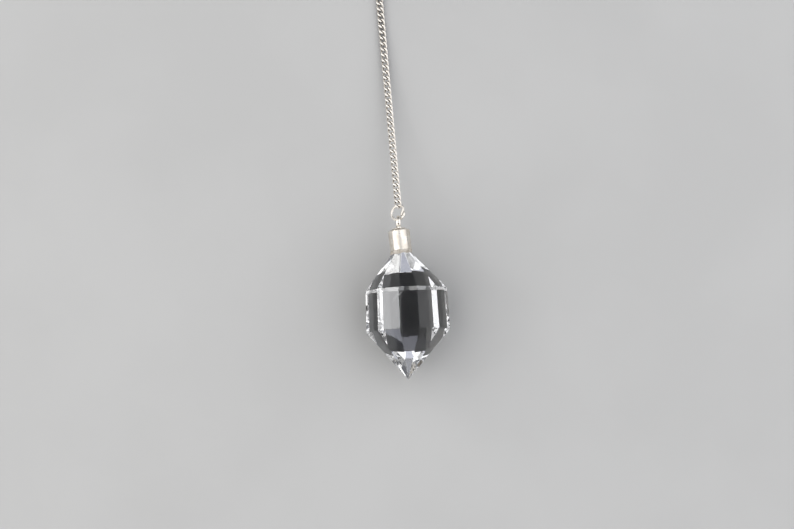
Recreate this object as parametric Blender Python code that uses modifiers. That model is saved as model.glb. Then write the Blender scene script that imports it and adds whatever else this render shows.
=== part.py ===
"""A faceted quartz pendulum on a curb chain, lying on a flat surface.

The stone lies on one side of its prism, its point towards -Y. The cap, the jump ring and the chain run
towards +Y: the chain sinks from the jump ring to the surface and ends in a plain ring.
"""

import math

import bmesh
import bpy
from mathutils import Matrix, Vector

# Driving sizes, in metres and degrees.

# The stone, a prism between a crown and a point.
FACETS_ROUND = 12
WIDTH_AT_POINT = 0.01995  # across flats, at the prism's end by the point
WIDTH_AT_CROWN = 0.01940  # across flats, at the prism's end by the crown
PRISM_LENGTH = 0.00990
POINT_LENGTH = 0.01150
POINT_ASIDE = -0.00055  # the point was cut this far beside the prism's axis
CROWN_LENGTH = 0.01165  # from the prism to where the crown's facets would meet
CROWN_ASIDE = -0.00082  # they would meet this far beside the prism's axis
# The cutter's corners that stray: the even place of each, clockwise from the top, and its turn.
CORNER_TURNS = {-45: 1.8, -15: 4.6, 135: -1.5, 225: 1.2}

# The cap, a turned tube with a closed top, and the eyelet soldered to it.
CAP_DIAMETER = 0.00520
CAP_WALL = 0.00040
CAP_SIDE = 0.00460
CAP_SHOULDER = 0.00050
CAP_TOP_THICKNESS = 0.00060
CAP_DISC_DIAMETER = 0.00330
CAP_DISC_HEIGHT = 0.00035
NECK_IN_CAP = 0.00130
NECK_CLEARANCE = 0.00032  # between the crown's widest corner and the bore, at the mouth
EYELET_WIRE = 0.00050
EYELET_WIDTH = 0.00110
EYELET_SUNK = 0.00025
EYELET_LEAN = 5.0  # towards the right of the cap's axis, seen from above

# The cement that shows between the cap and the crown.
CEMENT_DIAMETER = 0.00545
CEMENT_BULGE = 0.00006
SEAT_GAP = 0.00008  # between pieces that sit on each other

# The jump ring, with its cut ends lapped side by side.
RING_WIRE = 0.00060
RING_DIAMETER = 0.00430
RING_ROLL = 31.0
RING_TURN = -1.9  # the ring's heading, anticlockwise from the stone's axis, seen from above
RING_FIRST_END = -52.0
RING_LAP = 37.0
RING_LAP_GAP = 0.00008
RING_LAP_BLEND = 70.0

# The curb chain, and the plain ring at its free end.
LINK_WIRE = 0.00045
LINK_PITCH = 0.00146
LINK_COUNT = 40
LINK_GAP = 0.00008
END_RING_WIRE = 0.00050
END_RING_DIAMETER = 0.00500
RING_PLAY = 0.00015  # room on each side of a ring's wire inside a link
EYELET_PLAY = 0.00172  # room for the ring's wire to wander in the eyelet
EYELET_GAP = 0.00020  # between the ring and the eyelet's far side
CHAIN_TURN = 2.15  # the chain's heading, measured as the ring's is
CHAIN_SLOPE = 16.0  # how steeply the chain leaves the jump ring
ROLL_AT_RING = -14.0  # of the first link, right side up is positive
ROLL_AT_END = 36.0  # of the last link
ROLL_STEP = 6.0  # how far a link turns past its neighbour until the chain lies flat

# How finely round things are faceted.
CAP_SIDES = 40
SHOULDER_STEPS = 5
EYELET_SIDES = 20
EYELET_WIRE_SIDES = 10
RING_STEPS = 30
LINK_STEPS = 12
END_RING_SIDES = 28
END_RING_WIRE_SIDES = 8
LINK_WIRE_RESOLUTION = 1
RING_WIRE_RESOLUTION = 2
MERGE = 1e-7

# Sizes worked out from those above.
CORNER_SHARE = 1 / math.cos(math.pi / FACETS_ROUND)
PRISM_TAPER = math.atan((WIDTH_AT_POINT - WIDTH_AT_CROWN) / 2 / PRISM_LENGTH)
AXIS_HEIGHT = (WIDTH_AT_POINT + WIDTH_AT_CROWN) / 4 * math.cos(PRISM_TAPER)
CROWN_CORNER_SLOPE = WIDTH_AT_CROWN / 2 * CORNER_SHARE / CROWN_LENGTH
CAP_RADIUS = CAP_DIAMETER / 2
CAP_BORE_RADIUS = CAP_RADIUS - CAP_WALL
CAP_LEAN = math.atan(CROWN_ASIDE / CROWN_LENGTH)
CROWN_SKEW = CROWN_CORNER_SLOPE * abs(math.sin(CAP_LEAN))
# Heights along the cap's axis are measured from where the crown's facets would meet.
CAP_MOUTH = -(CAP_BORE_RADIUS - NECK_CLEARANCE) * (1 - CROWN_SKEW) / CROWN_CORNER_SLOPE
STONE_TABLE = CAP_MOUTH + NECK_IN_CAP
CAP_SHOULDER_FOOT = CAP_MOUTH + CAP_SIDE
CAP_TOP = CAP_SHOULDER_FOOT + CAP_SHOULDER
CAP_DISC_TOP = CAP_TOP + CAP_DISC_HEIGHT
EYELET_HOLE_RADIUS = (RING_WIRE + EYELET_PLAY) / 2
EYELET_RADIUS = EYELET_HOLE_RADIUS + EYELET_WIRE
EYELET_RISE = EYELET_RADIUS - EYELET_SUNK
# The wires' middle lines.
RING_LOOP = (RING_DIAMETER - RING_WIRE) / 2
END_RING_LOOP = (END_RING_DIAMETER - END_RING_WIRE) / 2
LINK_HALF_WIDTH = (RING_WIRE + LINK_WIRE) / 2 + RING_PLAY
LINK_HALF_LENGTH = (LINK_PITCH + LINK_WIRE + LINK_GAP) / 2
LINK_TWIST = LINK_WIRE / 2 + LINK_GAP
RING_TO_LINK = (RING_WIRE + LINK_WIRE) / 2 + LINK_GAP
END_RING_TO_LINK = (END_RING_WIRE + LINK_WIRE) / 2 + LINK_GAP


def material(name, color, roughness, metallic=0.0, transmission=0.0):
    """A Principled BSDF of one finish."""
    finish = bpy.data.materials.new(name)
    finish.use_nodes = True
    finish.diffuse_color = (*color, 1.0)
    shader = finish.node_tree.nodes["Principled BSDF"]
    shader.inputs["Base Color"].default_value = (*color, 1.0)
    shader.inputs["Roughness"].default_value = roughness
    shader.inputs["Metallic"].default_value = metallic
    shader.inputs["Transmission Weight"].default_value = transmission
    return finish


def add(name, data, collection, parent, finish=None, place=None):
    """An object of this data, placed in its parent's frame."""
    piece = bpy.data.objects.new(name, data)
    collection.objects.link(piece)
    piece.parent = parent
    if place is not None:
        piece.matrix_local = place
    if finish is not None:
        data.materials.clear()
        data.materials.append(finish)
    return piece


def along(direction, roll=0.0, at=(0, 0, 0)):
    """The frame at a point whose Y axis runs along this direction, X to the right and Z up, then rolled."""
    y = Vector(direction).normalized()
    x = y.cross(Vector((0, 0, 1))).normalized()
    z = x.cross(y)
    frame = Matrix((x, y, z)).transposed().to_4x4()
    return Matrix.Translation(Vector(at)) @ frame @ Matrix.Rotation(-math.radians(roll), 4, "Y")


def heading(turn, slope=0.0):
    """The direction of a chain or ring from its turn in degrees, sloping down by this many radians."""
    level = Vector((-math.sin(math.radians(turn)), math.cos(math.radians(turn)), 0))
    return level * math.cos(slope) - Vector((0, 0, math.sin(slope)))


def wire(name, points, diameter, resolution, cyclic):
    """A curve's data: a round wire along these points."""
    curve = bpy.data.curves.new(name, "CURVE")
    curve.dimensions = "3D"
    curve.bevel_depth = diameter / 2
    curve.bevel_resolution = resolution
    curve.use_fill_caps = not cyclic
    spline = curve.splines.new("POLY")
    spline.points.add(len(points) - 1)
    for spot, point in zip(spline.points, points):
        spot.co = (*point, 1.0)
    spline.use_cyclic_u = cyclic
    spline.use_smooth = True
    return curve


def turned(name, profile, sides, collection, parent, finish, place):
    """A profile of (radius, height) pairs, from the axis out and down its outer side, turned about Z."""
    mesh = bpy.data.meshes.new(name)
    edges = [(i, i + 1) for i in range(len(profile) - 1)]
    mesh.from_pydata([(radius, 0, height) for radius, height in profile], edges, [])
    piece = add(name, mesh, collection, parent, finish, place)
    screw = piece.modifiers.new("turn", "SCREW")
    screw.steps = sides
    screw.render_steps = sides
    screw.use_merge_vertices = True
    screw.merge_threshold = MERGE
    screw.use_smooth_shade = True
    return piece


def stone_mesh():
    """A prism, its one end drawn out to the point and the other drawn in to the crown's table."""
    mesh = bpy.data.meshes.new("quartz_stone")
    bm = bmesh.new()
    even_turn = math.pi / FACETS_ROUND
    bmesh.ops.create_cone(
        bm,
        cap_ends=True,
        segments=FACETS_ROUND,
        radius1=WIDTH_AT_POINT / 2 * CORNER_SHARE,
        radius2=WIDTH_AT_CROWN / 2 * CORNER_SHARE,
        depth=PRISM_LENGTH,
        matrix=Matrix.Rotation(even_turn, 4, "Z"),
    )
    stray_corners(bm)
    bm.faces.ensure_lookup_table()
    point_end = min(bm.faces, key=lambda face: face.calc_center_median().z)
    crown_end = max(bm.faces, key=lambda face: face.calc_center_median().z)
    middle = bmesh.ops.poke(bm, faces=[point_end])["verts"][0]
    middle.co = (POINT_ASIDE, 0, -PRISM_LENGTH / 2 - POINT_LENGTH)
    apex = crown_apex()
    grown = bmesh.ops.extrude_face_region(bm, geom=[crown_end])["geom"]
    bmesh.ops.delete(bm, geom=[crown_end], context="FACES_ONLY")
    for spot in (part for part in grown if isinstance(part, bmesh.types.BMVert)):
        spot.co = apex + (spot.co - apex) * (-STONE_TABLE / CROWN_LENGTH)
    bmesh.ops.recalc_face_normals(bm, faces=bm.faces)
    bm.to_mesh(mesh)
    bm.free()
    return mesh


def stray_corners(bm):
    """Turns a few of the prism's corners about its axis, as a hand-held stone comes off the wheel."""
    for corner in bm.verts:
        even = round(math.degrees(math.atan2(corner.co.x, -corner.co.y)))
        turn = CORNER_TURNS.get(even, CORNER_TURNS.get(even + 360, 0.0))
        corner.co.rotate(Matrix.Rotation(math.radians(turn), 3, "Z"))


def crown_apex():
    """Where the crown's facets would meet, in the stone's frame."""
    return Vector((CROWN_ASIDE, 0, PRISM_LENGTH / 2 + CROWN_LENGTH))


def cap_profile():
    """The cap's section: top disc, rounded shoulder, side, mouth and bore."""
    disc = CAP_DISC_DIAMETER / 2
    outer = [(0, CAP_DISC_TOP), (disc, CAP_DISC_TOP)]
    for step in range(SHOULDER_STEPS + 1):
        angle = math.pi / 2 * step / SHOULDER_STEPS
        radius = disc + (CAP_RADIUS - disc) * math.sin(angle)
        outer.append((radius, CAP_SHOULDER_FOOT + CAP_SHOULDER * math.cos(angle)))
    ceiling = CAP_TOP - CAP_TOP_THICKNESS
    mouth = [(CAP_RADIUS, CAP_MOUTH), (CAP_BORE_RADIUS, CAP_MOUTH)]
    bore = [(CAP_BORE_RADIUS, ceiling), (0, ceiling)]
    return outer + mouth + bore


def cement_profile():
    """The cement's section before the crown is cut from it: a disc that reaches down to the crown."""
    outer = CEMENT_DIAMETER / 2
    top = CAP_MOUTH - SEAT_GAP
    foot = -outer * CORNER_SHARE * (1 + CROWN_SKEW) / CROWN_CORNER_SLOPE
    return [(0, top), (outer - CEMENT_BULGE, top), (outer, (top + foot) / 2), (outer, foot), (0, foot)]


def combine(piece, helper, operation):
    """Solders a helper to a piece as one solid, or cuts it from the piece."""
    joint = piece.modifiers.new(helper.name, "BOOLEAN")
    joint.operation = operation
    joint.solver = "EXACT"
    joint.object = helper


def as_helper(piece):
    """Keeps a helper out of the model."""
    piece.hide_render = True
    piece.display_type = "WIRE"
    return piece


def make_crown_room(helpers, parent, stone, stone_place):
    """The stone, moved along the cap's axis until its crown stands a seat's gap out all round."""
    half_angle = math.atan(WIDTH_AT_CROWN / 2 / CROWN_LENGTH)
    shift = crown_apex() - Vector((0, 0, PRISM_LENGTH / 2))
    shift = shift.normalized() * SEAT_GAP * (1 + CROWN_SKEW) / math.sin(half_angle)
    place = stone_place @ Matrix.Translation(shift)
    return as_helper(add("crown_room", stone, helpers, parent, place=place))


def make_eyelet(helpers, parent, finish, place):
    """A loop of flattened wire that stands on the cap, its hole facing sideways."""
    bpy.ops.mesh.primitive_torus_add(
        major_segments=EYELET_SIDES,
        minor_segments=EYELET_WIRE_SIDES,
        major_radius=EYELET_RADIUS - EYELET_WIRE / 2,
        minor_radius=EYELET_WIRE / 2,
    )
    loop = bpy.context.object
    loop.name = "eyelet"
    flatten = Matrix.Scale(EYELET_WIDTH / EYELET_WIRE, 4, (0, 0, 1))
    upright = Matrix.Rotation(math.pi / 2, 4, "Y")
    loop.data.transform(Matrix.Translation((0, 0, EYELET_RISE)) @ upright @ flatten)
    loop.data.shade_smooth()
    for owner in list(loop.users_collection):
        owner.objects.unlink(loop)
    helpers.objects.link(loop)
    loop.parent = parent
    loop.matrix_local = place
    loop.data.materials.append(finish)
    return as_helper(loop)


def ring_point(angle):
    """A point of the jump ring's middle line, with the first end drawn inside the other where they lap."""
    first = math.radians(RING_FIRST_END)
    lap = math.radians(RING_LAP)
    blend = math.radians(RING_LAP_BLEND)
    inwards = RING_WIRE + RING_LAP_GAP
    share = min(max((angle - first - lap) / blend, 0), 1)
    radius = RING_LOOP - inwards * (1 + math.cos(math.pi * share)) / 2
    return Vector((radius * math.cos(angle), radius * math.sin(angle), 0))


def jump_ring_points():
    """The jump ring from its inner cut end right round to its outer one."""
    first = math.radians(RING_FIRST_END)
    whole = 2 * math.pi + math.radians(RING_LAP)
    return [ring_point(first + whole * step / RING_STEPS) for step in range(RING_STEPS + 1)]


def link_points():
    """A curb link's middle line: an oval whose two ends are twisted opposite ways."""
    points = []
    for step in range(LINK_STEPS):
        turn = 2 * math.pi * step / LINK_STEPS
        x = LINK_HALF_WIDTH * math.cos(turn)
        y = LINK_HALF_LENGTH * math.sin(turn)
        z = LINK_TWIST * math.sin(2 * turn)
        points.append(Vector((x, y, z)))
    return points


def lying_height(roll):
    """How high a link's middle is when it lies on the surface with this roll."""
    turned_link = Matrix.Rotation(-math.radians(roll), 3, "Y")
    return LINK_WIRE / 2 - min((turned_link @ point).z for point in link_points())


def link_roll(number):
    """The roll of a link, counted from 0: the chain is flat but for its ends, which turn to the rings."""
    to_end = LINK_COUNT - 1 - number
    near_ring = max(abs(ROLL_AT_RING) - ROLL_STEP * number, 0)
    near_end = max(abs(ROLL_AT_END) - ROLL_STEP * to_end, 0)
    return math.copysign(near_ring, ROLL_AT_RING) + math.copysign(near_end, ROLL_AT_END)


def chain_spots(first_middle):
    """Each link's middle: a catenary from the jump ring down to the surface, then along it."""
    slope = math.radians(CHAIN_SLOPE)
    drop = first_middle.z - lying_height(0)
    pull = drop / (1 / math.cos(slope) - 1)
    hanging = pull * math.tan(slope)
    reach = pull * math.asinh(hanging / pull)
    ground = heading(CHAIN_TURN)
    touchdown = Vector((first_middle.x, first_middle.y, 0)) + ground * reach
    spots = []
    for number in range(LINK_COUNT):
        left = hanging - number * LINK_PITCH
        back = pull * math.asinh(left / pull) if left > 0 else left
        curve_height = lying_height(0) + pull * (math.hypot(1, max(left, 0) / pull) - 1)
        height = max(curve_height, lying_height(link_roll(number)))
        spots.append(touchdown - ground * back + Vector((0, 0, height)))
    return spots


def chain_frames(first_middle):
    """Each link's frame: its middle, its direction from the links beside it, and its roll."""
    spots = chain_spots(first_middle)
    frames = []
    for number, spot in enumerate(spots):
        before = spots[max(number - 1, 0)]
        after = spots[min(number + 1, LINK_COUNT - 1)]
        frames.append(along(after - before, link_roll(number), spot))
    return frames


def main():
    for old in list(bpy.data.objects):
        bpy.data.objects.remove(old, do_unlink=True)
    pendant = bpy.data.collections.new("pendulum_pendant")
    helpers = bpy.data.collections.new("helpers")
    bpy.context.scene.collection.children.link(pendant)
    bpy.context.scene.collection.children.link(helpers)

    quartz = material("quartz", (0.93, 0.95, 0.95), 0.02, transmission=1.0)
    silver = material("silver", (0.88, 0.85, 0.80), 0.22, metallic=1.0)
    cement = material("cement", (0.56, 0.51, 0.43), 0.75)

    # The stone's frame has the prism's middle as its origin, the crown along Z and the surface along Y.
    laid_down = Matrix.Rotation(-math.pi / 2 - PRISM_TAPER, 4, "X")
    stone_place = Matrix.Translation((0, 0, AXIS_HEIGHT)) @ laid_down
    cap_place = stone_place @ Matrix.Translation(crown_apex()) @ Matrix.Rotation(CAP_LEAN, 4, "Y")
    cap_top = cap_place @ Matrix.Translation((0, 0, CAP_DISC_TOP))
    eyelet_place = cap_top @ Matrix.Rotation(math.radians(EYELET_LEAN), 4, "Y")

    # The jump ring hangs at the far side of the eyelet's hole, drawn down the chain's first slope.
    pull_way = heading(RING_TURN, math.radians(CHAIN_SLOPE))
    hole = eyelet_place @ Vector((0, 0, EYELET_RISE))
    ring_near = hole + pull_way * (EYELET_HOLE_RADIUS - RING_WIRE / 2 - EYELET_GAP)
    ring_middle = ring_near + pull_way * RING_LOOP
    first_link = ring_middle + pull_way * (RING_LOOP - RING_TO_LINK + LINK_HALF_LENGTH)
    frames = chain_frames(first_link)

    # The end ring's near side is held up in the last link, and its far side lies on the surface.
    last_link = frames[-1].translation
    held = last_link + heading(CHAIN_TURN) * (LINK_HALF_LENGTH - END_RING_TO_LINK)
    end_slope = math.asin((held.z - END_RING_WIRE / 2) / (2 * END_RING_LOOP))
    end_way = heading(CHAIN_TURN, end_slope)
    end_middle = held + end_way * END_RING_LOOP

    # The whole length is centred on the origin.
    tip = stone_place @ Vector((POINT_ASIDE, 0, -PRISM_LENGTH / 2 - POINT_LENGTH))
    far_end = end_middle.y + END_RING_LOOP * math.cos(end_slope) + END_RING_WIRE / 2
    centre = Matrix.Translation((0, -(tip.y + far_end) / 2, 0))
    origin = add("pendulum_origin", None, pendant, None, place=centre)

    stone = stone_mesh()
    add("quartz_stone", stone, pendant, origin, quartz, stone_place)
    seat = turned("cement", cement_profile(), CAP_SIDES, pendant, origin, cement, cap_place)
    combine(seat, make_crown_room(helpers, origin, stone, stone_place), "DIFFERENCE")
    cap = turned("cap", cap_profile(), CAP_SIDES, pendant, origin, silver, cap_place)
    combine(cap, make_eyelet(helpers, origin, silver, eyelet_place), "UNION")

    ring_wire = wire("jump_ring", jump_ring_points(), RING_WIRE, RING_WIRE_RESOLUTION, cyclic=False)
    add("jump_ring", ring_wire, pendant, origin, silver, along(pull_way, RING_ROLL, ring_middle))

    link_wire = wire("chain_link", link_points(), LINK_WIRE, LINK_WIRE_RESOLUTION, cyclic=True)
    for number, frame in enumerate(frames, start=1):
        add(f"chain_link_{number:02d}", link_wire, pendant, origin, silver, frame)

    bpy.ops.mesh.primitive_torus_add(
        major_segments=END_RING_SIDES,
        minor_segments=END_RING_WIRE_SIDES,
        major_radius=END_RING_LOOP,
        minor_radius=END_RING_WIRE / 2,
    )
    end_ring = bpy.context.object
    mesh = end_ring.data
    mesh.shade_smooth()
    bpy.data.objects.remove(end_ring)
    add("end_ring", mesh, pendant, origin, silver, along(end_way, 0, end_middle))


main()
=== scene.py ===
# %% [markdown]
# # A quartz pendulum on its chain, lying on a pale table
#
# The real thing is a clear cut stone, cemented into a turned silver cap. A small eyelet is soldered to the
# cap, a lapped jump ring goes through the eyelet, and a fine curb chain runs from the ring. The packed
# solids are the frame, and every piece here takes its place from them. They are coarse polygons, so the
# metal is made again as smooth wires and turned work, the stone gets the fine bevels that a polished edge
# has, and every surface gets its finish.

# %% Load the frame
import math

import bmesh
import bpy
import numpy as np
from mathutils import Matrix, Vector, noise
from mathutils.bvhtree import BVHTree


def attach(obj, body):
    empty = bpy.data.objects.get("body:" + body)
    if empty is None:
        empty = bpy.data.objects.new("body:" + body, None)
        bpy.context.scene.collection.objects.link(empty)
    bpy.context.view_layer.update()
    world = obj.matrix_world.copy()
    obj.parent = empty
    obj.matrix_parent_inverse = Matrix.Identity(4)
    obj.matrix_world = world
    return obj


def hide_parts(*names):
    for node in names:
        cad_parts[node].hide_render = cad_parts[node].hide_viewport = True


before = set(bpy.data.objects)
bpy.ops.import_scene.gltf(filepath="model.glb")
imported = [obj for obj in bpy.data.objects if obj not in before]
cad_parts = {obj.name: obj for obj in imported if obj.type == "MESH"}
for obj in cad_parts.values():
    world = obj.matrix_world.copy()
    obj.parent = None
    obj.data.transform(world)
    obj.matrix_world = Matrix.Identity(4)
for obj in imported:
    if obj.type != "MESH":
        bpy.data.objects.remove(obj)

MM = 0.001
UP = Vector((0, 0, 1))
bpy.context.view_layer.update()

# %% [markdown]
# ## What the solids say
#
# A faceted solid's corners show where each part of it is. The stone has one corner at its tip and then
# three rings of them, where the point meets the prism, where the prism meets the crown, and round the small
# table inside the cap. Sorting them along the stone tells them apart, with no sizes copied by hand.


# %% Find the stone's tip and rings
def corners_of(node):
    """A node's corners, each once."""
    corners = [corner.co[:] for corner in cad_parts[node].data.vertices]
    return np.unique(np.round(corners, 7), axis=0)


stone_corners = corners_of("quartz_stone")
stone_corners = stone_corners[np.argsort(stone_corners[:, 1])]
facets_round = (len(stone_corners) - 1) // 3
tip_corner, point_ring, crown_ring, table_ring = np.split(
    stone_corners, [1, 1 + facets_round, 1 + 2 * facets_round]
)
tip = Vector(tip_corner[0])
print("The stone has", facets_round, "sides, and its tip is at", [round(value / MM, 2) for value in tip])
print("Its point is", round((point_ring[:, 1].mean() - tip.y) / MM, 2), "mm long")

# %% [markdown]
# ## The camera
#
# The picture was taken from nearly straight above, tilted five degrees towards the stone's point. A long
# lens almost half a metre away keeps the stone's sides nearly unseen. The tip is the sharpest mark to set
# it by: the camera backs off from the tip along the line that the tip's pixel looks along. The object lies
# a few degrees askew in the picture, so the camera is turned and the object stays straight.

# %% Place the camera
PICTURE_WIDTH = 794
PICTURE_HEIGHT = 529
TIP_PIXEL = Vector((408.4, 379.7))
PIXELS_PER_METRE = 4203  # at the height of the tip
CAMERA_HEIGHT = 0.45
CAMERA_TURN = math.radians(-2.9)
CAMERA_TILT = math.radians(5.0)
SENSOR_WIDTH = 36.0
NEAREST_SEEN = 0.01

depth = CAMERA_HEIGHT - tip.z
pixels_of_lens = PIXELS_PER_METRE * depth
camera_frame = Matrix.Rotation(CAMERA_TURN, 3, "Z") @ Matrix.Rotation(CAMERA_TILT, 3, "X")
right, picture_up, backwards = camera_frame.col
aside = (TIP_PIXEL.x - PICTURE_WIDTH / 2) / pixels_of_lens
below = (TIP_PIXEL.y - PICTURE_HEIGHT / 2) / pixels_of_lens

lens = bpy.data.cameras.new("camera")
lens.sensor_width = SENSOR_WIDTH
lens.lens = SENSOR_WIDTH * pixels_of_lens / PICTURE_WIDTH
lens.clip_start = NEAREST_SEEN
camera = bpy.data.objects.new("camera", lens)
camera.location = tip + depth * (backwards - aside * right + below * picture_up)
camera.rotation_euler = (CAMERA_TILT, 0, CAMERA_TURN)
bpy.context.scene.collection.objects.link(camera)
bpy.context.scene.camera = camera
print("The lens is", round(lens.lens, 1), "mm long, and the camera is at", camera.location[:])

# %% [markdown]
# ## Floor and light
#
# The floor is plain and pale. Two large soft boxes lean over the object from left and right, and between
# them is a narrow dark gap where the camera looks through. This is what puts two bright bands on the cap
# with a thin line between them, and what makes some facets of the stone bright and others dark. A soft box
# is brightest in its middle, and a polished facet mirrors only a twentieth of what it faces, so the left
# box gets a hot core where the stone's left facet mirrors it. Two cards over the chain light the crown from
# inside, and two narrow ones low beyond the point are mirrored by its upper facets, each in a part of one
# facet. The room behind them all is dim.
#
# The light that a crystal gathers on a table takes very many samples to trace. It is left out, which keeps
# the table under the stone in plain shade: the facets that look straight through the stone turn dark.

# %% Lay the floor
FLOOR_GAP = 0.02 * MM
FLOOR_SIZE = 4.0

bpy.ops.mesh.primitive_plane_add(size=FLOOR_SIZE, location=(0, 0, -FLOOR_GAP))
floor = bpy.context.object
floor.name = "floor"
print("The floor is", FLOOR_SIZE, "m wide")

# %% Hang the lights
LIGHT_AIM = Vector((0, -0.03, 0.01))
WARM = (1.0, 0.985, 0.96)
COOL = (0.98, 0.985, 1.0)
LAVENDER = (0.86, 0.88, 1.0)
LIGHTS = (  # name, turn and lean in degrees, distance, width and length in metres, brightness, colour
    ("soft_box_left", 180, 44, 0.50, 0.72, 1.30, 1.3, WARM),
    ("soft_box_right", 0, 44, 0.50, 0.72, 1.30, 1.3, COOL),
    ("hot_core", 174, 54, 0.48, 0.08, 0.10, 6.8, COOL),
    ("crown_card_middle", 90, 24, 0.60, 0.26, 0.16, 0.45, LAVENDER),
    ("crown_card_right", 90, 32, 0.58, 0.08, 0.07, 1.3, WARM),
    ("point_card_left", -117, 86.9, 0.60, 0.02, 0.13, 3.5, LAVENDER),
    ("point_card_middle", -87, 77.2, 0.60, 0.02, 0.05, 2.4, LAVENDER),
)


def soft_box(name, turn, lean, distance, width, length, brightness, colour):
    """A rectangular area light that leans this far from overhead, towards this turn from the right."""
    data = bpy.data.lights.new(name, "AREA")
    data.shape = "RECTANGLE"
    data.size = width
    data.size_y = length
    data.energy = brightness * math.pi * width * length
    data.color = colour
    light = bpy.data.objects.new(name, data)
    turned = Matrix.Rotation(math.radians(turn), 4, "Z") @ Matrix.Rotation(math.radians(lean), 4, "Y")
    light.matrix_world = Matrix.Translation(LIGHT_AIM) @ turned @ Matrix.Translation((0, 0, distance))
    light.visible_camera = False
    bpy.context.scene.collection.objects.link(light)


for light in LIGHTS:
    soft_box(*light)
print("The lights are", [light[0] for light in LIGHTS])

# %% Dim the room
ROOM_LIGHT = (0.12, 0.125, 0.14, 1)
ROOM_SEEN = (0.62, 0.62, 0.62, 1)  # where the camera looks past the floor's edge

world = bpy.data.worlds.new("room")
bpy.context.scene.world = world
world.use_nodes = True
room = world.node_tree
background = room.nodes["Background"]
ray = room.nodes.new("ShaderNodeLightPath")
seen = room.nodes.new("ShaderNodeMix")
seen.data_type = "RGBA"
seen.inputs["A"].default_value = ROOM_LIGHT
seen.inputs["B"].default_value = ROOM_SEEN
room.links.new(ray.outputs["Is Camera Ray"], seen.inputs["Factor"])
room.links.new(seen.outputs["Result"], background.inputs["Color"])
print("The room's own light is", ROOM_LIGHT[:3])

# %% Say how light is traced and shown
BOUNCES = 32  # enough to leave the stone again after many turns inside it
GLOSSY_BOUNCES = 16

bpy.context.scene.view_settings.view_transform = "Standard"
bpy.context.scene.view_settings.look = "None"
bpy.context.scene.cycles.max_bounces = BOUNCES
bpy.context.scene.cycles.transmission_bounces = BOUNCES
bpy.context.scene.cycles.glossy_bounces = GLOSSY_BOUNCES
bpy.context.scene.cycles.caustics_refractive = False
bpy.context.scene.cycles.caustics_reflective = False
print("Light is followed for up to", BOUNCES, "bounces")

# %% [markdown]
# ## Writing materials in code
#
# A material is a tree of nodes. Four short helpers keep it readable: they add a node with its settings and
# its inputs, start a node group with named sockets, place such a group, and start a material. An effect
# that several finishes share is a group, built once and placed in each of them with its own values.


# %% Add a node to a tree
def node(tree, kind, inputs=(), **settings):
    """Adds a node, makes its settings, and fills or links its inputs."""
    made = tree.nodes.new("ShaderNode" + kind)
    for setting, value in settings.items():
        setattr(made, setting, value)
    for socket, value in dict(inputs).items():
        if isinstance(value, bpy.types.NodeSocket):
            tree.links.new(value, made.inputs[socket])
        else:
            made.inputs[socket].default_value = value
    return made


# %% Start and place a node group
def new_group(name, inputs, outputs):
    """Starts a shader node group and gives back the group, its inputs and its end."""
    group = bpy.data.node_groups.new(name, "ShaderNodeTree")
    for label, (kind, value) in inputs.items():
        socket = group.interface.new_socket(label, in_out="INPUT", socket_type="NodeSocket" + kind)
        socket.default_value = value
    for label, kind in outputs.items():
        group.interface.new_socket(label, in_out="OUTPUT", socket_type="NodeSocket" + kind)
    given = group.nodes.new("NodeGroupInput").outputs
    print("The effect", name, "takes", list(inputs), "and gives", list(outputs))
    return group, given, group.nodes.new("NodeGroupOutput")


def place_group(tree, group, inputs=()):
    """Places a node group in a material and gives back its outputs."""
    return node(tree, "Group", inputs, node_tree=group).outputs


# %% Start a material
PATTERN_STEP = 3700  # how far the pattern moves on for a metre of the piece's place, so no two links match


def finish(name):
    """Starts a material: its node tree, its shader and its own coordinates in millimetres."""
    made = bpy.data.materials.new(name)
    made.use_nodes = True
    tree = made.node_tree
    own = node(tree, "TexCoord").outputs["Object"]
    own = node(tree, "VectorMath", {0: own, "Scale": 1 / MM}, operation="SCALE").outputs["Vector"]
    place = node(tree, "ObjectInfo").outputs["Location"]
    place = node(tree, "VectorMath", {0: place, "Scale": PATTERN_STEP}, operation="SCALE").outputs["Vector"]
    spot = node(tree, "VectorMath", {0: own, 1: place}, operation="ADD").outputs["Vector"]
    return made, tree, tree.nodes["Principled BSDF"], spot


# %% [markdown]
# ## Effects that several finishes share
#
# Handled metal has fine scratches that run every way. One stretched noise gives marks in one direction, so
# three of them are turned and laid over each other. Its colour is never quite even either: a soft cloudy
# noise moves between two tones. Dirt and tarnish gather where a surface faces another one closely, and shade
# falls there too, which is what an ambient occlusion node measures; the darkening it paints there is partly
# painted shade. Edges that rub stay bright, which Cycles knows as pointiness.

# %% Fine scratches
SCRATCH_TURNS = ((0.2, 0.5, 0.3), (1.1, -0.4, 1.4), (-0.7, 0.9, 2.3))
SCRATCH_STRETCH = (0.10, 1.0, 1.0)
SCRATCH_DETAIL = 2.0
SCRATCH_FAINT = 0.56  # the noise's values from which a mark shows, and shows fully
SCRATCH_STRONG = 0.68

fine_scratches, given, end = new_group(
    "fine_scratches",
    {"Vector": ("Vector", (0, 0, 0)), "Scale": ("Float", 8.0), "Amount": ("Float", 1.0)},
    {"Mask": "Float"},
)
tree = fine_scratches
laid_over = None
for turn in SCRATCH_TURNS:
    turned = node(tree, "Mapping", {"Vector": given["Vector"], "Rotation": turn})
    drawn = node(tree, "Mapping", {"Vector": turned.outputs["Vector"], "Scale": SCRATCH_STRETCH})
    noise_inputs = {"Vector": drawn.outputs["Vector"], "Scale": given["Scale"], "Detail": SCRATCH_DETAIL}
    marks = node(tree, "TexNoise", noise_inputs)
    limits = {"Value": marks.outputs["Fac"], "From Min": SCRATCH_FAINT, "From Max": SCRATCH_STRONG}
    line = node(tree, "MapRange", limits).outputs["Result"]
    if laid_over is None:
        laid_over = line
    else:
        laid_over = node(tree, "Math", {0: laid_over, 1: line}, operation="MAXIMUM").outputs["Value"]
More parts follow.
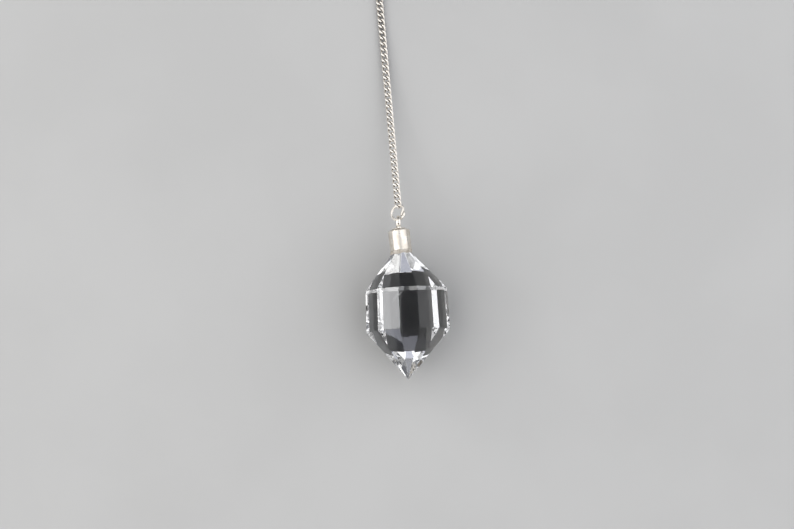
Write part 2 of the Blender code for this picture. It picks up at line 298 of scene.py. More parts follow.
amount = node(tree, "Math", {0: laid_over, 1: given["Amount"]}, operation="MULTIPLY")
tree.links.new(amount.outputs["Value"], end.inputs["Mask"])

# %% Cloudy tone
CLOUD_DETAIL = 4.0
CLOUD_FAINT = 0.35
CLOUD_STRONG = 0.65

cloudy_tone, given, end = new_group(
    "cloudy_tone",
    {
        "Vector": ("Vector", (0, 0, 0)),
        "Scale": ("Float", 1.0),
        "Light": ("Color", (1, 1, 1, 1)),
        "Dark": ("Color", (0.5, 0.5, 0.5, 1)),
    },
    {"Color": "Color", "Mask": "Float"},
)
tree = cloudy_tone
noise_inputs = {"Vector": given["Vector"], "Scale": given["Scale"], "Detail": CLOUD_DETAIL}
clouds = node(tree, "TexNoise", noise_inputs)
limits = {"Value": clouds.outputs["Fac"], "From Min": CLOUD_FAINT, "From Max": CLOUD_STRONG}
soft = node(tree, "MapRange", limits, interpolation_type="SMOOTHSTEP").outputs["Result"]
tone = node(tree, "Mix", {"Factor": soft, "A": given["Light"], "B": given["Dark"]}, data_type="RGBA")
tree.links.new(tone.outputs["Result"], end.inputs["Color"])
tree.links.new(soft, end.inputs["Mask"])

# %% Dirt and painted shade in hollows
OPENNESS_SAMPLES = 8

hollow_dirt, given, end = new_group(
    "hollow_dirt",
    {"Reach": ("Float", 0.3 * MM), "Open": ("Float", 0.8), "Closed": ("Float", 0.3)},
    {"Mask": "Float"},
)
tree = hollow_dirt
# the occlusion finds where surfaces close in; its darkening is partly dirt and partly painted shade
openness = node(
    tree, "AmbientOcclusion", {"Distance": given["Reach"]}, samples=OPENNESS_SAMPLES, only_local=False
)
limits = {"Value": openness.outputs["AO"], "From Min": given["Open"], "From Max": given["Closed"]}
closeness = node(tree, "MapRange", limits).outputs["Result"]
tree.links.new(closeness, end.inputs["Mask"])

# %% Worn edges
worn_edges, given, end = new_group(
    "worn_edges",
    {"Flat": ("Float", 0.51), "Edge": ("Float", 0.56)},
    {"Mask": "Float"},
)
tree = worn_edges
sharpness = node(tree, "NewGeometry").outputs["Pointiness"]
limits = {"Value": sharpness, "From Min": given["Flat"], "From Max": given["Edge"]}
tree.links.new(node(tree, "MapRange", limits).outputs["Result"], end.inputs["Mask"])

# %% [markdown]
# ## Silver
#
# The metal is plain silver with a satin wear: cream white where it faces the light, a little darker in
# clouds, dark brown in the hollows between the links, partly from tarnish and partly as painted shade, and
# bright again along its edges. One function makes it, because the wires and the cap differ only in a few
# values: the cap was turned on a lathe, so it has fine lines round its axis, and wire was drawn, so it has
# only its scratches.

# %% Make the silver
SILVER_LIGHT = (0.89, 0.845, 0.775, 1)
SILVER_DARK = (0.73, 0.67, 0.59, 1)
SILVER_BRIGHT = (0.96, 0.93, 0.88, 1)
# the dark brown of the hollows: tarnish, with painted shade laid in it too
TARNISH_AND_SHADE = (0.15, 0.11, 0.08, 1)
LATHE_LINES = (0.15, 0.15, 9.0)  # lines each millimetre across the axis and along it
LATHE_DETAIL = 3.0
SILVER_SCRATCHES_EACH_MM = 9.0
LIGHT_CLOUD_ROUGHNESS = 0.9  # of the finish's own roughness
DARK_CLOUD_ROUGHNESS = 1.15
SCRATCH_ROUGHNESS = 0.06  # added where a scratch is
DIRT_ROUGHNESS = 0.35  # added where dirt is
SILVER_BUMP = 0.3
SILVER_RELIEF = 0.0025 * MM


def silver_finish(name, roughness, clouds_each_mm, tarnish_and_shade_reach, tarnish_and_shade_amount, lathe_height):
    """Satin silver with clouds, tarnish and painted shade in the hollows, worn edges, scratches and lines
    from the lathe.
    """
    made, tree, shader, spot = finish(name)
    tones = {"Vector": spot, "Scale": clouds_each_mm, "Light": SILVER_LIGHT, "Dark": SILVER_DARK}
    tone = place_group(tree, cloudy_tone, tones)
    worn = place_group(tree, worn_edges)["Mask"]
    bright = node(tree, "Mix", {"Factor": worn, "A": tone["Color"], "B": SILVER_BRIGHT}, data_type="RGBA")
    # tarnish and painted shade in the hollows between the links
    tarnish_and_shade = place_group(tree, hollow_dirt, {"Reach": tarnish_and_shade_reach})["Mask"]
    tarnish_and_shade = node(tree, "Math", {0: tarnish_and_shade, 1: tarnish_and_shade_amount}, operation="MULTIPLY").outputs["Value"]
    colour = {"Factor": tarnish_and_shade, "A": bright.outputs["Result"], "B": TARNISH_AND_SHADE}
    colour = node(tree, "Mix", colour, data_type="RGBA").outputs["Result"]
    tree.links.new(colour, shader.inputs["Base Color"])

    scratches = {"Vector": spot, "Scale": SILVER_SCRATCHES_EACH_MM}
    scratches = place_group(tree, fine_scratches, scratches)["Mask"]
    lightest = roughness * LIGHT_CLOUD_ROUGHNESS
    darkest = roughness * DARK_CLOUD_ROUGHNESS
    rough = node(tree, "MapRange", {"Value": tone["Mask"], "To Min": lightest, "To Max": darkest})
    rough = {0: scratches, 1: SCRATCH_ROUGHNESS, 2: rough.outputs["Result"]}
    rough = node(tree, "Math", rough, operation="MULTIPLY_ADD").outputs["Value"]
    rough = node(tree, "Math", {0: tarnish_and_shade, 1: DIRT_ROUGHNESS, 2: rough}, operation="MULTIPLY_ADD")
    tree.links.new(rough.outputs["Value"], shader.inputs["Roughness"])

    lines = node(tree, "Mapping", {"Vector": spot, "Scale": LATHE_LINES}).outputs["Vector"]
    lines = node(tree, "TexNoise", {"Vector": lines, "Scale": 1.0, "Detail": LATHE_DETAIL}).outputs["Fac"]
    relief = node(tree, "Math", {0: lines, 1: lathe_height, 2: scratches}, operation="MULTIPLY_ADD")
    bump = {"Height": relief.outputs["Value"], "Strength": SILVER_BUMP, "Distance": SILVER_RELIEF}
    tree.links.new(node(tree, "Bump", bump).outputs["Normal"], shader.inputs["Normal"])
    shader.inputs["Metallic"].default_value = 1.0
    return made


# %% Finish the cap and the wires
turned_silver = silver_finish(
    "turned_silver",
    roughness=0.30,
    clouds_each_mm=0.7,
    tarnish_and_shade_reach=0.5 * MM,
    tarnish_and_shade_amount=0.8,
    lathe_height=1.5,  # of a scratch's
)
wire_silver = silver_finish(
    "wire_silver",
    roughness=0.28,
    clouds_each_mm=1.6,
    tarnish_and_shade_reach=0.45 * MM,
    tarnish_and_shade_amount=1.0,
    lathe_height=0.0,
)
print("The silver is", turned_silver.name, "and", wire_silver.name)

# %% [markdown]
# ## Cement
#
# The stone is held by a pale, dull cement that was smeared on by hand. It is beige with darker patches, and
# darkest in its hollows, where stains and painted shade are laid on. Its grain shows as small lumps, so it
# gets a rough surface and a bump of fine noise.

# %% Make the cement
CEMENT_LIGHT = (0.60, 0.555, 0.50, 1)
CEMENT_DARK = (0.38, 0.335, 0.28, 1)
# the near black of the hollows: stains, with painted shade laid in it too
CEMENT_STAIN_AND_SHADE = (0.05, 0.05, 0.045, 1)
CEMENT_CLOUDS_EACH_MM = 1.1
STAIN_AND_SHADE_REACH = 0.25 * MM
STAIN_AND_SHADE_OPEN = 0.45  # the openness at which stain and painted shade start, and at which they are full
STAIN_AND_SHADE_CLOSED = 0.1
STAIN_AND_SHADE_AMOUNT = 0.6
GRAINS_EACH_MM = 9.0
GRAIN_DETAIL = 3.0
SMOOTHEST_GRAIN = 0.6
ROUGHEST_GRAIN = 0.95
CEMENT_BUMP = 0.6
CEMENT_RELIEF = 0.05 * MM


def cement_finish():
    """Beige cement with darker clouds, and stains and painted shade in its hollows, grainy all over."""
    made, tree, shader, spot = finish("beige_cement")
    tones = {"Vector": spot, "Scale": CEMENT_CLOUDS_EACH_MM, "Light": CEMENT_LIGHT, "Dark": CEMENT_DARK}
    tone = place_group(tree, cloudy_tone, tones)["Color"]
    stain_and_shade = {"Reach": STAIN_AND_SHADE_REACH, "Open": STAIN_AND_SHADE_OPEN, "Closed": STAIN_AND_SHADE_CLOSED}
    # stains and painted shade in the hollows
    stain_and_shade = place_group(tree, hollow_dirt, stain_and_shade)["Mask"]
    stain_and_shade = node(tree, "Math", {0: stain_and_shade, 1: STAIN_AND_SHADE_AMOUNT}, operation="MULTIPLY").outputs["Value"]
    colour = node(tree, "Mix", {"Factor": stain_and_shade, "A": tone, "B": CEMENT_STAIN_AND_SHADE}, data_type="RGBA")
    tree.links.new(colour.outputs["Result"], shader.inputs["Base Color"])
    grain = node(tree, "TexNoise", {"Vector": spot, "Scale": GRAINS_EACH_MM, "Detail": GRAIN_DETAIL})
    grain = grain.outputs["Fac"]
    rough = node(tree, "MapRange", {"Value": grain, "To Min": SMOOTHEST_GRAIN, "To Max": ROUGHEST_GRAIN})
    tree.links.new(rough.outputs["Result"], shader.inputs["Roughness"])
    bump = {"Height": grain, "Strength": CEMENT_BUMP, "Distance": CEMENT_RELIEF}
    tree.links.new(node(tree, "Bump", bump).outputs["Normal"], shader.inputs["Normal"])
    return made


beige_cement = cement_finish()
print("The cement is", beige_cement.name)

# %% [markdown]
# ## Rock crystal
#
# To a renderer, quartz is glass with a slightly higher refractive index, 1.544. It is clear, but the facets
# of a stone that was polished by hand aren't perfect: faint polishing marks catch the light, and the surface
# waves a little. The colour stays almost white, because light crosses the surface many times before it gets
# out.

# %% Make the quartz
QUARTZ_INDEX = 1.544
QUARTZ_LIGHT = (0.995, 0.997, 1.0, 1)
QUARTZ_DARK = (0.97, 0.975, 0.98, 1)
QUARTZ_CLOUDS_EACH_MM = 0.25
POLISH_MARKS_EACH_MM = 3.5
POLISH_ROUGHNESS = 0.03  # in a mark; the rest is a perfect polish
QUARTZ_WAVES = (1.1, 0.12, 1.1)  # each millimetre: long and soft
WAVE_BUMP = 0.05
WAVE_RELIEF = 0.006 * MM


def quartz_finish():
    """Clear crystal with faint polishing marks, in surfaces that wave a little along the stone."""
    made, tree, shader, spot = finish("rock_crystal")
    tones = {"Vector": spot, "Scale": QUARTZ_CLOUDS_EACH_MM, "Light": QUARTZ_LIGHT, "Dark": QUARTZ_DARK}
    tree.links.new(place_group(tree, cloudy_tone, tones)["Color"], shader.inputs["Base Color"])
    marks = {"Vector": spot, "Scale": POLISH_MARKS_EACH_MM}
    marks = place_group(tree, fine_scratches, marks)["Mask"]
    rough = node(tree, "Math", {0: marks, 1: POLISH_ROUGHNESS}, operation="MULTIPLY").outputs["Value"]
    tree.links.new(rough, shader.inputs["Roughness"])
    waves = node(tree, "Mapping", {"Vector": spot, "Scale": QUARTZ_WAVES}).outputs["Vector"]
    waves = node(tree, "TexNoise", {"Vector": waves, "Scale": 1.0, "Detail": 1.0}).outputs["Fac"]
    bump = {"Height": waves, "Strength": WAVE_BUMP, "Distance": WAVE_RELIEF}
    tree.links.new(node(tree, "Bump", bump).outputs["Normal"], shader.inputs["Normal"])
    shader.inputs["IOR"].default_value = QUARTZ_INDEX
    shader.inputs["Transmission Weight"].default_value = 1.0
    return made


rock_crystal = quartz_finish()
print("The stone is", rock_crystal.name, "with an index of", QUARTZ_INDEX)

# %% [markdown]
# ## Helpers for the pieces
#
# Every piece ends the same way: it gets its finish, rides on the one body that the whole thing is, and says
# which solids it stands for. A solid's own place comes from its corners: they spread most along its length
# and least across its thin side, and these directions are the eigenvectors of their covariance.


# %% Place and dress a piece
def add_piece(name, data, finish_used, nodes, place=None):
    """A piece of this data with its finish, fixed to the body, in the place of its solids."""
    piece = bpy.data.objects.new(name, data)
    bpy.context.scene.collection.objects.link(piece)
    if place is not None:
        piece.matrix_world = place
    data.materials.clear()
    data.materials.append(finish_used)
    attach(piece, "root")
    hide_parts(*nodes)
    return piece


# %% Find a solid's own directions
def frame_at(middle, x, y, z):
    """The matrix of a frame with these directions, at this middle."""
    return Matrix.Translation(middle) @ Matrix((x, y, z)).transposed().to_4x4()


def main_directions(corners):
    """The middle of some corners, and their widest, longest and thinnest directions, right-handed."""
    middle = corners.mean(axis=0)
    spread = np.cov((corners - middle).T)
    _, wide, long = np.linalg.eigh(spread)[1].T
    return middle, wide, long, np.cross(wide, long)


# %% [markdown]
# Wire is a curve with a bevel: its points are joined smoothly, and its radius may differ from point to
# point. The curve is made a mesh at once, because a mesh can be placed many times, pressed and joined to
# others.


# %% Make a mesh of a curve or of modifiers
def as_mesh(piece):
    """The mesh of an object as its modifiers or its curve make it, and the object is gone."""
    bpy.context.view_layer.update()
    mesh = bpy.data.meshes.new_from_object(piece.evaluated_get(bpy.context.evaluated_depsgraph_get()))
    mesh.name = piece.name
    bpy.data.objects.remove(piece)
    return mesh


# %% Draw a wire
WIRE_ROUNDNESS = 6
WIRE_STEPS = 5
SHARP_FROM = math.radians(38)


def wire(name, points, diameter, closed, end_share=1.0):
    """The mesh of a round wire that runs smoothly through these points, pinched at any cut ends."""
    curve = bpy.data.curves.new(name, "CURVE")
    curve.dimensions = "3D"
    curve.bevel_depth = diameter / 2
    curve.bevel_resolution = WIRE_ROUNDNESS
    curve.resolution_u = WIRE_STEPS
    curve.use_fill_caps = not closed
    spline = curve.splines.new("BEZIER")
    spline.bezier_points.add(len(points) - 1)
    for spot, point in zip(spline.bezier_points, points):
        spot.co = point
        spot.handle_left_type = "AUTO"
        spot.handle_right_type = "AUTO"
    spline.use_cyclic_u = closed
    spline.bezier_points[0].radius = end_share
    spline.bezier_points[-1].radius = end_share
    piece = bpy.data.objects.new(name, curve)
    bpy.context.scene.collection.objects.link(piece)
    mesh = as_mesh(piece)
    mesh.shade_smooth()
    mesh.set_sharp_from_angle(angle=SHARP_FROM)
    return mesh


# %% [markdown]
# ## The stone
#
# The solid has the right shape, but triangles cross its facets and its edges are knife sharp. Triangles on
# one plane are dissolved into whole facets, and each edge gets a narrow bevel that catches light as a
# polished edge does. Under the prism's left facet lies a fine curved crack, seen almost from its edge. It
# is a cavity: a thin lens, bent and turned inside out, because its surface faces away from the crystal and
# into the gap.

# %% Cut the stone
MERGE = 1e-7
SAME_FACET = math.radians(0.5)
STONE_BEVEL = 0.05 * MM
BEVEL_SEGMENTS = 2


def whole_facets(node_name, same_plane):
    """A node's solid with its corners merged and the triangles on one plane made one face."""
    solid = bmesh.new()
    solid.from_mesh(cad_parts[node_name].data)
    bmesh.ops.remove_doubles(solid, verts=solid.verts, dist=MERGE)
    bmesh.ops.dissolve_limit(solid, angle_limit=same_plane, verts=solid.verts, edges=solid.edges)
    return solid


stone_solid = whole_facets("quartz_stone", SAME_FACET)
stone_faces = BVHTree.FromBMesh(stone_solid)
print("The stone has", len(stone_solid.faces), "facets with its table")
bmesh.ops.bevel(
    stone_solid,
    geom=stone_solid.edges[:],
    offset=STONE_BEVEL,
    segments=BEVEL_SEGMENTS,
    profile=0.5,
    affect="EDGES",
)

# %% Let the stone crack
CRACK_LENGTH = 3.6 * MM
CRACK_WIDTH = 0.8 * MM
CRACK_OPENING = 0.006 * MM
CRACK_BEND = 100.0  # how much it curves, in 1/m
CRACK_PLACE = Vector((-2.2, -32.6, 17.2)) * MM
CRACK_TURNS = (math.radians(72), 0, math.radians(54))
CRACK_SIDES = 48
CRACK_RINGS = 24


def add_crack(solid):
    """A thin curved cavity, turned inside out."""
    sphere = bmesh.ops.create_uvsphere(solid, u_segments=CRACK_SIDES, v_segments=CRACK_RINGS, radius=1.0)
    made = sphere["verts"]
    tilt = [Matrix.Rotation(turn, 3, axis) for turn, axis in zip(CRACK_TURNS, "XYZ")]
    for corner in made:
        x = corner.co.x * CRACK_LENGTH / 2
        y = corner.co.y * CRACK_WIDTH / 2
        z = corner.co.z * CRACK_OPENING / 2 + CRACK_BEND * x * x
        corner.co = CRACK_PLACE + tilt[2] @ tilt[1] @ tilt[0] @ Vector((x, y, z))
    faces = {face for corner in made for face in corner.link_faces}
    bmesh.ops.reverse_faces(solid, faces=list(faces))


add_crack(stone_solid)
stone_mesh = bpy.data.meshes.new("cut_stone")
stone_solid.to_mesh(stone_mesh)
stone_solid.free()
add_piece("cut_stone", stone_mesh, rock_crystal, ["quartz_stone"])
print("The stone has", len(stone_mesh.polygons), "faces with its bevels and its crack")

# %% [markdown]
# ## The cap's own frame
#
# The cap leans a little with the crown, so its parts are easiest to make in a frame of its own: Z along its
# axis from the mouth, X to the right, and so Y down to the surface. All corners of the mouth lie in one
# plane, and that plane's thin direction is the axis.

# %% Measure the cap
MOUTH_REACH = 0.2 * MM
ROUNDING_ERROR = 0.001 * MM

cap_corners = corners_of("cap")
towards_chain = table_ring.mean(axis=0) - crown_ring.mean(axis=0)
reach = cap_corners @ towards_chain / np.linalg.norm(towards_chain)
mouth = cap_corners[reach < reach.min() + MOUTH_REACH]
mouth_middle, _, _, axis = main_directions(mouth)
axis = Vector(axis) * math.copysign(1, axis @ towards_chain)
cap_right = axis.cross(UP).normalized()
cap_place = frame_at(mouth_middle, cap_right, axis.cross(cap_right), axis)

in_cap = (cap_corners - mouth_middle) @ np.array(cap_place.to_3x3())
from_axis = np.hypot(in_cap[:, 0], in_cap[:, 1])
cap_radius = from_axis.max()
bore_radius = from_axis[in_cap[:, 2] < MOUTH_REACH].min()
cap_side = in_cap[from_axis > cap_radius - ROUNDING_ERROR][:, 2].max()
print("The cap's width and its side's length, in mm:", round(2 * cap_radius / MM, 2), round(cap_side / MM, 2))

# %% [markdown]
# ## The cement's seam
#
# The cement fills the corner between the cap's mouth and the crown. Its section is drawn again and again
# round the axis, and each time a ray shot at the stone finds where the crown's surface is. Slow noise moves
# the foot up and down and the face in and out, as a smear has it, and one small hole was left in it on the
# upper side.

# %% Find the crown under the cement
RAY_START = 20 * MM


def crown_radius(angle, height):
    """How far the crown's surface is from the cap's axis."""
    outwards = Vector((math.cos(angle), math.sin(angle), 0))
    start = cap_place @ (outwards * RAY_START + Vector((0, 0, height)))
    hit = stone_faces.ray_cast(start, cap_place.to_3x3() @ -outwards)[0]
    return RAY_START - (hit - start).length


print("At the mouth the crown is", round(crown_radius(0, 0) / MM, 2), "mm from the cap's axis")

# %% Draw the cement's section
CEMENT_ROWS = 9
CEMENT_FOOT = 0.86 * MM
CEMENT_FOOT_STRAY = 0.16 * MM
FOOT_WAVES = 1.9  # how fast the noise changes round the foot, and then round and down the face
LUMP_WAVES = 4.5
LUMP_ROWS = 2.5
CEMENT_BULGE = 0.08 * MM
BULGE_EASE = 0.8  # under 1, so it is fullest a little above its middle
CEMENT_LUMPS = 0.07 * MM
CEMENT_GAP = 0.02 * MM
CEMENT_EDGE = 0.05 * MM
RIM_ROUNDING = 0.05 * MM
HOLE_ANGLE = math.radians(-88)
HOLE_HEIGHT = -0.42 * MM
HOLE_RADIUS = 0.20 * MM
HOLE_DEPTH = 0.30 * MM


def cement_section(angle):
    """The loop of points round the cement's section at this angle."""
    way = Vector((math.cos(angle), math.sin(angle), 0))
    from_hole = math.remainder(angle - HOLE_ANGLE, 2 * math.pi) * cap_radius
    foot = -CEMENT_FOOT - CEMENT_FOOT_STRAY * noise.noise(way * FOOT_WAVES)
    top_radius = cap_radius - RIM_ROUNDING / 2
    foot_radius = crown_radius(angle, foot) + CEMENT_GAP
    loop = []
    for row in range(CEMENT_ROWS + 1):
        share = row / CEMENT_ROWS
        height = -CEMENT_GAP + (foot + CEMENT_GAP) * share
        face = top_radius + (foot_radius + CEMENT_EDGE - top_radius) * share
        lumps = CEMENT_LUMPS * noise.noise(way * LUMP_WAVES + Vector((0, 0, share * LUMP_ROWS)))
        face += (CEMENT_BULGE + lumps) * math.sin(math.pi * share ** BULGE_EASE)
        distance = math.hypot(from_hole, height - HOLE_HEIGHT) / HOLE_RADIUS
        face -= HOLE_DEPTH * max(0, 1 - distance ** 2)
        loop.append(way * face + Vector((0, 0, height)))
    for row in range(CEMENT_ROWS, -1, -1):
        height = -CEMENT_GAP + (foot + CEMENT_GAP) * row / CEMENT_ROWS
        loop.append(way * (crown_radius(angle, height) + CEMENT_GAP) + Vector((0, 0, height)))
    return loop


# %% Smear the cement
CEMENT_STEPS = 180
SEAM_SHARP_FROM = math.radians(50)


def turns_round(steps):
    """The angles of this many even steps round a circle."""
    return [2 * math.pi * step / steps for step in range(steps)]


def closed_skin(name, loops):
    """A closed mesh through loops of points, the last of which joins the first."""
    made = bmesh.new()
    rings = [[made.verts.new(point) for point in loop] for loop in loops]
    for ring, following in zip(rings, rings[1:] + rings[:1]):
        for here in range(len(ring)):
            after = (here + 1) % len(ring)
            made.faces.new((ring[here], ring[after], following[after], following[here]))
    bmesh.ops.recalc_face_normals(made, faces=made.faces)
    mesh = bpy.data.meshes.new(name)
    made.to_mesh(mesh)
    made.free()
    mesh.shade_smooth()
    return mesh


seam = closed_skin("cement_seam", [cement_section(angle) for angle in turns_round(CEMENT_STEPS)])
seam.set_sharp_from_angle(angle=SEAM_SHARP_FROM)
add_piece("cement_seam", seam, beige_cement, ["cement"], cap_place)
print("The cement has", len(seam.polygons), "faces")

# %% [markdown]
# ## The cap
#
# A turned piece is one profile swept round its axis with a Screw modifier. The profile runs down the
# outside from the middle of the top: a small disc with a rounded rim, a groove under it, the rounded
# shoulder, the side, the rounded lip, and back up the bore. The eyelet and its solder are joined to it by
# Booleans later, so that the cap is one closed mesh.

# %% Draw the cap's profile
SHOULDER = 0.50 * MM
DISC_RADIUS = 1.65 * MM
DISC_HEIGHT = 0.35 * MM
DISC_DOME = 0.06 * MM
DOME_SHARES = (0, 0.3, 0.6, 0.85)  # where the dome has its points, from its middle to its rim
DISC_ROUNDING = 0.13 * MM
DISC_UNDERCUT = -60  # how far round its rim goes, in degrees
GROOVE_DEPTH = 0.16 * MM
GROOVE_HEIGHT = 0.07 * MM
TOP_THICKNESS = 0.60 * MM
ARC_STEPS = 8


def arc(radius, height, width, rise, start, stop, steps=ARC_STEPS):
    """Points of an elliptical arc about (radius, height), between two angles in degrees."""
    turns = [math.radians(start + (stop - start) * step / steps) for step in range(steps + 1)]
    return [(radius + width * math.cos(turn), height + rise * math.sin(turn)) for turn in turns]


def cap_profile():
    """The cap's section as (radius, height) pairs."""
    top = cap_side + SHOULDER
    rim = DISC_RADIUS - DISC_ROUNDING
    disc_top = top + DISC_HEIGHT
    dome = [(rim * share, disc_top - DISC_DOME * share ** 2) for share in DOME_SHARES]
    rim_height = disc_top - DISC_DOME - DISC_ROUNDING
    disc_rim = arc(rim, rim_height, DISC_ROUNDING, DISC_ROUNDING, 90, DISC_UNDERCUT)
    groove = [(DISC_RADIUS - GROOVE_DEPTH, top + GROOVE_HEIGHT), (DISC_RADIUS - GROOVE_DEPTH, top)]
    shoulder = arc(DISC_RADIUS, cap_side, cap_radius - DISC_RADIUS, SHOULDER, 90, 0, 2 * ARC_STEPS)
    lip = arc(cap_radius - RIM_ROUNDING, RIM_ROUNDING, RIM_ROUNDING, RIM_ROUNDING, 0, -90)
    inner_lip = arc(bore_radius + RIM_ROUNDING, RIM_ROUNDING, RIM_ROUNDING, RIM_ROUNDING, -90, -180)
    ceiling = top - TOP_THICKNESS
    return dome + disc_rim + groove + shoulder + lip + inner_lip + [(bore_radius, ceiling), (0, ceiling)]


# %% Turn the cap
CAP_STEPS = 128


def turned(name, profile, steps):
    """An object whose profile is swept about Z."""
    mesh = bpy.data.meshes.new(name)
    edges = [(corner, corner + 1) for corner in range(len(profile) - 1)]
    mesh.from_pydata([(radius, 0, height) for radius, height in profile], edges, [])
    piece = bpy.data.objects.new(name, mesh)
    bpy.context.scene.collection.objects.link(piece)
    screw = piece.modifiers.new("turn", "SCREW")
    screw.steps = steps
    screw.render_steps = steps
    screw.use_merge_vertices = True
    screw.merge_threshold = MERGE
    return piece


blank = turned("cap_blank", cap_profile(), CAP_STEPS)
print("The cap's profile has", len(blank.data.vertices), "points")

# %% [markdown]
# ## The eyelet and its solder
#
# The eyelet is a loop of flattened wire that stands on the disc, its hole facing sideways. It was pinched
# where it goes round at the far end, so its band is narrower there. It leans a little, and a low mound of
# solder lies round its foot and has run over the disc's rim. A small pit is left on its upper side. The
# solid's corners above the disc are the band's, and they spread least along the hole's axis, which shows
# the lean.

# %% Measure the eyelet
EYELET_SUNK = 0.25 * MM

disc_top = cap_side + SHOULDER + DISC_HEIGHT
band_corners = in_cap[in_cap[:, 2] > disc_top + ROUNDING_ERROR]
hole_axis = main_directions(band_corners)[3]
eyelet_lean = math.atan(-hole_axis[2] / hole_axis[0])
leaning = (math.sin(eyelet_lean), 0, math.cos(eyelet_lean))
eyelet_height = ((band_corners - (0, 0, disc_top)) @ leaning).max()
eyelet_radius = (eyelet_height + EYELET_SUNK) / 2
eyelet_rise = eyelet_radius - EYELET_SUNK
eyelet_place = Matrix.Translation((0, 0, disc_top)) @ Matrix.Rotation(eyelet_lean, 4, "Y")
print("The eyelet leans", round(math.degrees(eyelet_lean), 1), "degrees")

# %% Bend the eyelet
EYELET_STEPS = 72
EYELET_WIRE_STEPS = 20
EYELET_WIRE = 0.50 * MM
EYELET_BAND_AT_FOOT = 1.16 * MM
EYELET_BAND_AT_END = 0.78 * MM
EYELET_PINCH = 3  # how suddenly it narrows towards its end


def eyelet_section(turn):
    """The loop of points round the band at this turn, which is 0 at the foot."""
    to_end = (1 - math.cos(turn)) / 2
    narrowing = (EYELET_BAND_AT_FOOT - EYELET_BAND_AT_END) * to_end ** EYELET_PINCH
    half_band = (EYELET_BAND_AT_FOOT - narrowing) / 2
    way = Vector((0, math.sin(turn), -math.cos(turn)))
    middle = way * (eyelet_radius - EYELET_WIRE / 2) + Vector((0, 0, eyelet_rise))
    return [
        middle + way * EYELET_WIRE / 2 * math.cos(step) + Vector((half_band * math.sin(step), 0, 0))
        for step in turns_round(EYELET_WIRE_STEPS)
    ]


band = closed_skin("eyelet_band", [eyelet_section(turn) for turn in turns_round(EYELET_STEPS)])
band.transform(eyelet_place)
loop_piece = bpy.data.objects.new("eyelet_band", band)
bpy.context.scene.collection.objects.link(loop_piece)
print("The eyelet's band has", len(band.polygons), "faces")

# %% Join balls of metal, or cut with them
BALL_SIDES = 32
BALL_RINGS = 16


def ball(name, middle, sizes, place):
    """A closed ball or egg as a helper object."""
    made = bmesh.new()
    bmesh.ops.create_uvsphere(made, u_segments=BALL_SIDES, v_segments=BALL_RINGS, radius=1.0)
    mesh = bpy.data.meshes.new(name)
    made.to_mesh(mesh)
    made.free()
    mesh.transform(place @ Matrix.Translation(middle) @ Matrix.Diagonal((*sizes, 1)))
    helper = bpy.data.objects.new(name, mesh)
    bpy.context.scene.collection.objects.link(helper)
    return helper


def combine(piece, helper, operation):
    """Joins a helper to a piece, or cuts it out."""
    joint = piece.modifiers.new(helper.name, "BOOLEAN")
    joint.operation = operation
    joint.solver = "EXACT"
    joint.object = helper


# %% Solder the eyelet on
SOLDER_MIDDLE = Vector((0.16, -0.12, -0.02)) * MM
SOLDER_SIZE = Vector((0.98, 1.22, 0.42)) * MM
SOLDER_RUN_MIDDLE = Vector((0.18, -1.13, 0.0)) * MM
SOLDER_RUN_SIZE = Vector((0.58, 0.57, 0.52)) * MM
PIT_HEIGHT = 0.86 * MM
PIT_RADIUS = 0.20 * MM
PIT_DEPTH = 0.34 * MM

solder = ball("solder", SOLDER_MIDDLE, SOLDER_SIZE, eyelet_place)
solder_run = ball("solder_run", SOLDER_RUN_MIDDLE, SOLDER_RUN_SIZE, eyelet_place)
pit_outwards = math.sqrt(eyelet_radius ** 2 - (eyelet_rise - PIT_HEIGHT) ** 2)
pit = ball("pit", (0, -pit_outwards, PIT_HEIGHT), (PIT_RADIUS, PIT_DEPTH, PIT_RADIUS), eyelet_place)
helpers = [loop_piece, solder, solder_run, pit]
for helper, operation in zip(helpers, ("UNION", "UNION", "UNION", "DIFFERENCE")):
    combine(blank, helper, operation)

cap_mesh = as_mesh(blank)
cap_mesh.shade_smooth()
cap_mesh.set_sharp_from_angle(angle=SHARP_FROM)
for helper in helpers:
    bpy.data.objects.remove(helper)
add_piece("silver_cap", cap_mesh, turned_silver, ["cap"], cap_place)
print("The cap has", len(cap_mesh.polygons), "faces with its eyelet and solder")

# %% [markdown]
# ## The jump ring
#
# The ring is a piece of wire whose two cut ends lie lapped side by side. Its solid is a string of sections:
# from one cut end, each step along the edges reaches the corners of the next section, and their means are
# the wire's middle line. A curve with automatic handles runs smoothly through them, and it is thinner at
# both ends, where the cutters pinched the wire. The outer end was pressed against the strand beside it, so
# its last two points are moved towards that strand until the wires almost touch.

# %% Find the ring's middle line
SAME_WALL = math.radians(0.05)


def middle_line(node_name):
    """The middles of the sections of a wire with two cut ends, in order."""
    solid = whole_facets(node_name, SAME_WALL)
    section = set(max(solid.faces, key=lambda face: len(face.verts)).verts)
    passed = set()
    middles = []
    while section:
        middles.append(sum((corner.co for corner in section), Vector()) / len(section))
        passed |= section
        section = {edge.other_vert(corner) for corner in section for edge in corner.link_edges} - passed
    solid.free()
    return middles


ring_line = middle_line("jump_ring")
from_cap = [(ring_line[end] - cap_place.translation).length for end in (0, -1)]
if from_cap[0] > from_cap[1]:
    ring_line.reverse()  # so it starts at the inner end
print("The jump ring's line has", len(ring_line), "points")

# %% Bend the jump ring
RING_WIRE = 0.60 * MM
CUT_END = 0.42  # of the wire's thickness
INNER_REACH = 0.08 * MM
OUTER_REACH = 0.45 * MM
LAP_GAP = 0.02 * MM
INNER_STRAND = 3  # one part in this many of the line


def carried_on(line, reach):
    """The point that lies this far beyond the line's last one."""
    return line[-1] + (line[-1] - line[-2]).normalized() * reach


def beside(point, strand, distance):
    """The point moved towards a strand's nearest point until it is this far from it."""
    nearest = min(strand, key=lambda other: (other - point).length)
    return nearest + (point - nearest).normalized() * distance


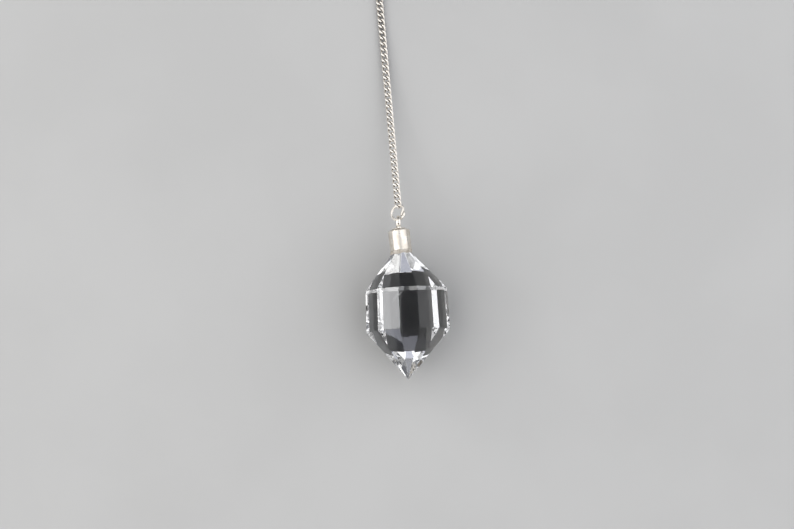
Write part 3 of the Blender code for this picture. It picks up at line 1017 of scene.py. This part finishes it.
inner_strand = ring_line[:len(ring_line) // INNER_STRAND]
outer_end = carried_on(ring_line, OUTER_REACH)
ring_line[-1] = beside(ring_line[-1], inner_strand, RING_WIRE + LAP_GAP)
ring_line.append(beside(outer_end, inner_strand, RING_WIRE * (1 + CUT_END) / 2 + LAP_GAP))
ring_line[0] = carried_on(ring_line[1::-1], INNER_REACH)
ring = wire("lapped_ring", ring_line, RING_WIRE, closed=False, end_share=CUT_END)
add_piece("lapped_ring", ring, wire_silver, ["jump_ring"])
print("The jump ring has", len(ring.polygons), "faces")

# %% [markdown]
# ## The chain
#
# A curb link is an oval whose two ends are twisted opposite ways, so that the links lie flat. The finished
# chain is rolled, so its wire is wider than it is thick: the link is made of thicker wire and pressed flat.
# All forty are the same, so they share one mesh, and each is placed by the main directions of its own
# solid.

# %% Lay the links
LINK_WIRE = 0.49 * MM
LINK_PRESSED = 0.88  # of its first thickness
LINK_HALF_WIDTH = 0.675 * MM  # to the wire's middle
LINK_HALF_LENGTH = 0.99 * MM
LINK_TWIST = 0.37 * MM
LINK_POINTS = 12

link_line = [
    (LINK_HALF_WIDTH * math.cos(turn), LINK_HALF_LENGTH * math.sin(turn), LINK_TWIST * math.sin(2 * turn))
    for turn in turns_round(LINK_POINTS)
]
link = wire("curb_link", link_line, LINK_WIRE, closed=True)
link.transform(Matrix.Diagonal((1, 1, LINK_PRESSED, 1)))
link_nodes = sorted(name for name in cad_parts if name.startswith("chain_link_"))
for name in link_nodes:
    place = frame_at(*main_directions(corners_of(name)))
    add_piece(name.replace("chain", "curb"), link, wire_silver, [name], place)
print("The chain has", len(link_nodes), "links")

# %% [markdown]
# ## The ring at the chain's end
#
# The last ring is plain and closed. Its corners spread evenly round it, so their mean is its middle, their
# mean distance from there is very nearly the radius of its middle line, and their thin direction is its
# axis.

# %% Close the end ring
END_RING_WIRE = 0.50 * MM
END_RING_POINTS = 16

end_corners = corners_of("end_ring")
end_frame = frame_at(*main_directions(end_corners))
end_radius = np.linalg.norm(end_corners - end_corners.mean(axis=0), axis=1).mean()
end_line = [
    end_frame @ Vector((end_radius * math.cos(turn), end_radius * math.sin(turn), 0))
    for turn in turns_round(END_RING_POINTS)
]
end_ring = wire("end_ring_wire", end_line, END_RING_WIRE, closed=True)
add_piece("plain_end_ring", end_ring, wire_silver, ["end_ring"])
print("The end ring is", round((2 * end_radius + END_RING_WIRE) / MM, 2), "mm across")

# %% [markdown]
# ## The table
#
# The floor is a plain pale board, a little uneven in tone so that it doesn't look like paper.

# %% Paint the table
FLOOR_LIGHT = (0.50, 0.50, 0.495, 1)
FLOOR_DARK = (0.48, 0.48, 0.475, 1)
FLOOR_CLOUDS_EACH_MM = 0.02
FLOOR_ROUGHNESS = 0.6

pale_table, tree, shader, spot = finish("pale_table")
tones = {"Vector": spot, "Scale": FLOOR_CLOUDS_EACH_MM, "Light": FLOOR_LIGHT, "Dark": FLOOR_DARK}
tree.links.new(place_group(tree, cloudy_tone, tones)["Color"], shader.inputs["Base Color"])
shader.inputs["Roughness"].default_value = FLOOR_ROUGHNESS
floor.data.materials.append(pale_table)
print("The floor is", pale_table.name)
